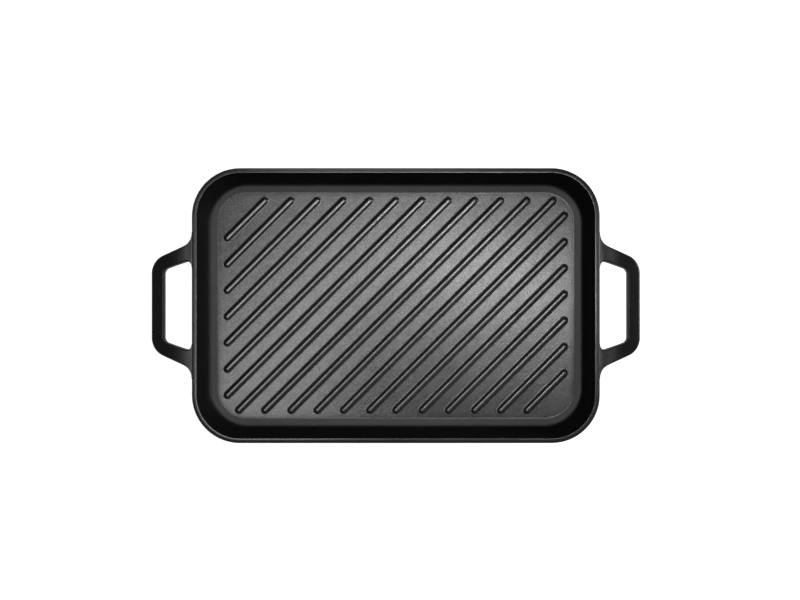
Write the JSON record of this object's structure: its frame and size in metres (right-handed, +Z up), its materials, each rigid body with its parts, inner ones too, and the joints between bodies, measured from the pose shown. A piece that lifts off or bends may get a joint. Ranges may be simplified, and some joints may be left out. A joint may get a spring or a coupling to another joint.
{
  "type": "ribbed plancha griddle",
  "caption": "Shallow rectangular cast griddle with diagonal searing ridges, flared wall, rounded corners and a loop handle at each short end, for cooking over burners.",
  "frame": {"origin": "middle of the flat base, on the surface that the griddle stands on", "axes": "+X along the length from the left handle to the right handle, +Y across to the back long side, +Z up through the open top"},
  "size_m": [0.4722, 0.2648, 0.038],
  "materials": {
    "pan": "matte black, fine-grained cast floor, smoother wall and rim",
    "rib": "matte black, worn a little lighter along the crest",
    "handle": "satin black, smooth"
  },
  "bodies": {
    "root": {"pan_body": "pan", "left_handle": "handle", "right_handle": "handle", "rib_01": "rib", "rib_02": "rib", "rib_03": "rib", "rib_04": "rib", "rib_05": "rib", "rib_06": "rib", "rib_07": "rib", "rib_08": "rib", "rib_09": "rib", "rib_10": "rib", "rib_11": "rib", "rib_12": "rib", "rib_13": "rib", "rib_14": "rib", "rib_15": "rib", "rib_16": "rib", "rib_17": "rib", "rib_18": "rib", "rib_19": "rib"}
  },
  "joints": []
}
